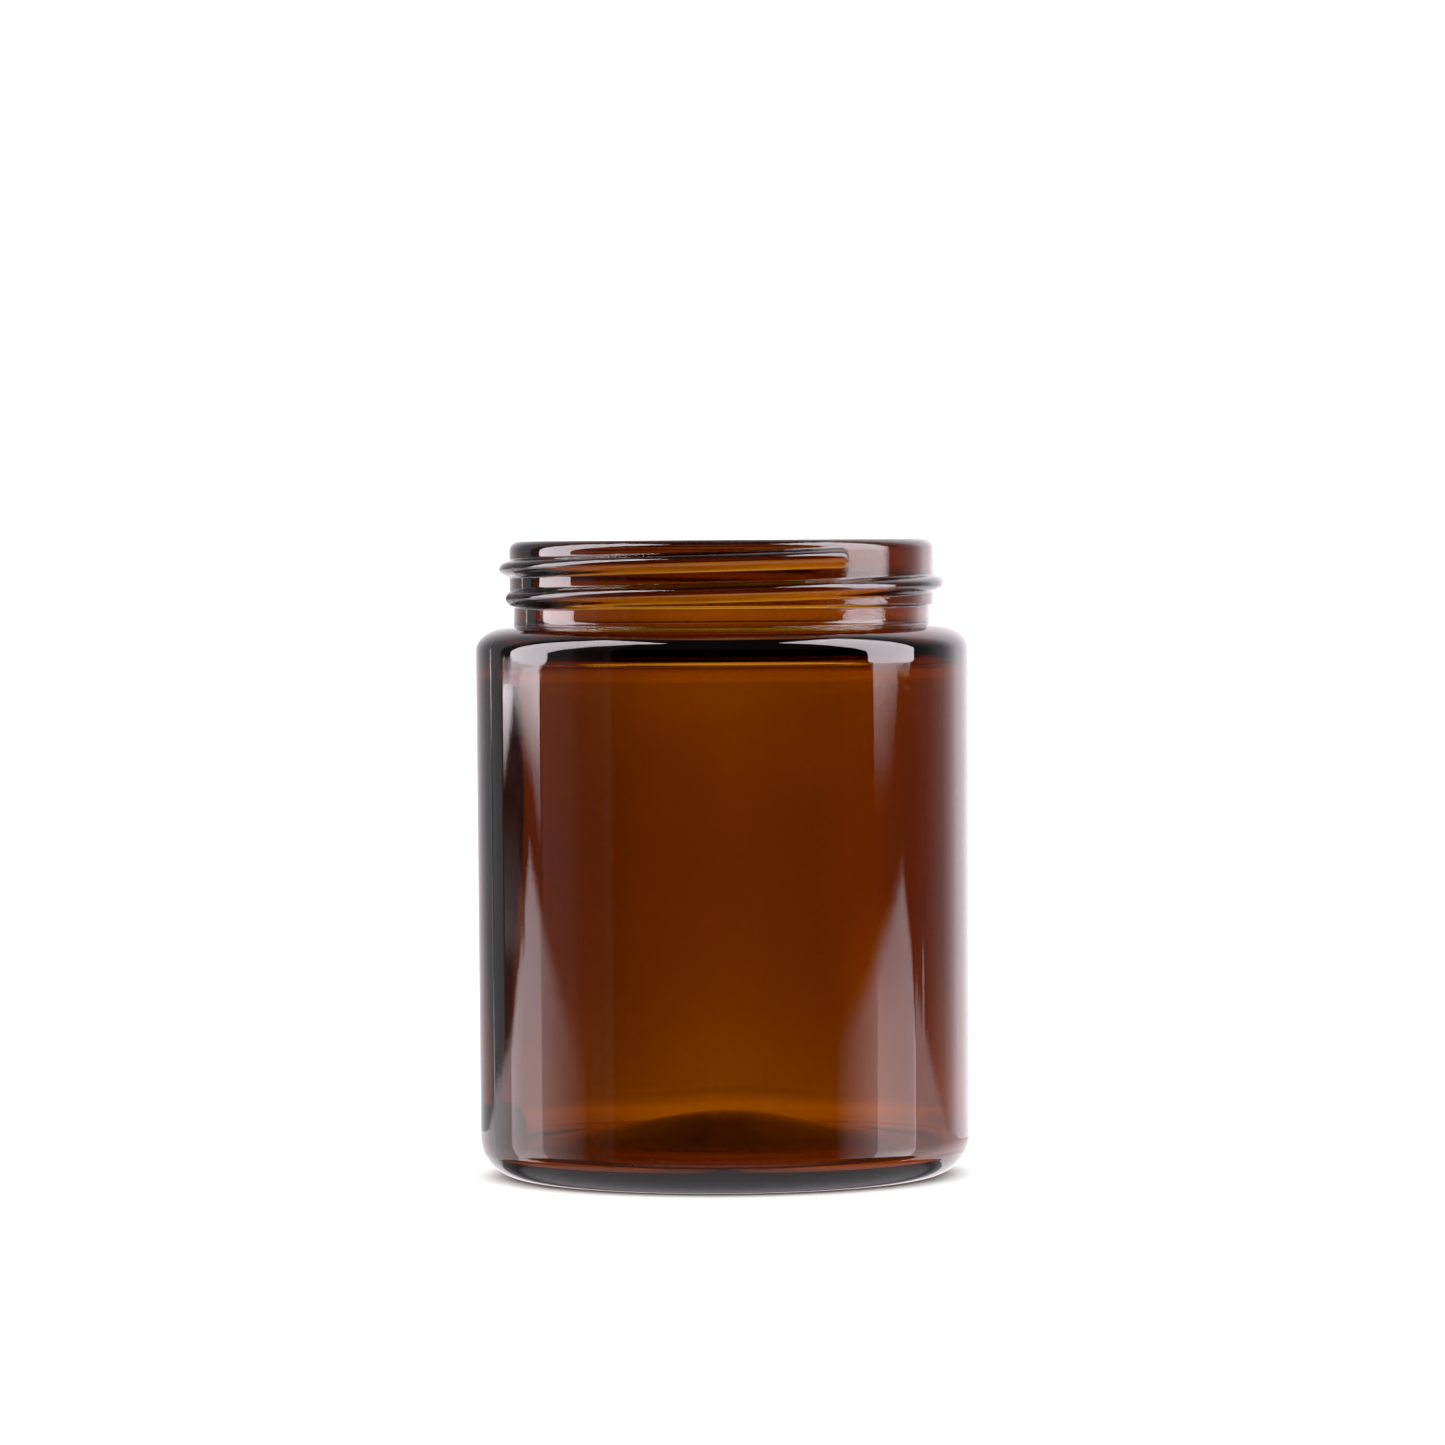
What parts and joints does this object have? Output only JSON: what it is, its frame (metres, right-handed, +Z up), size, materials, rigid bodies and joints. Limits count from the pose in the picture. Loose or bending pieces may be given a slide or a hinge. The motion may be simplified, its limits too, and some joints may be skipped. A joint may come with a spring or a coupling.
{
  "type": "candle jar",
  "caption": "Straight-sided round amber glass candle jar with a short screw-thread neck, a wide open mouth and a pushed-up base, empty and without a lid.",
  "frame": {"origin": "on the jar's axis, in the plane of the bearing ring that it stands on", "axes": "+Z up along the jar's axis, out of the mouth; -Y is the front, the side where both turns of the thread overlap"},
  "size_m": [0.0688, 0.0688, 0.0888],
  "materials": {
    "amber_glass": "clear amber-brown moulded glass, fire-polished gloss"
  },
  "bodies": {
    "root": {"glass_jar": "amber_glass"}
  },
  "joints": []
}
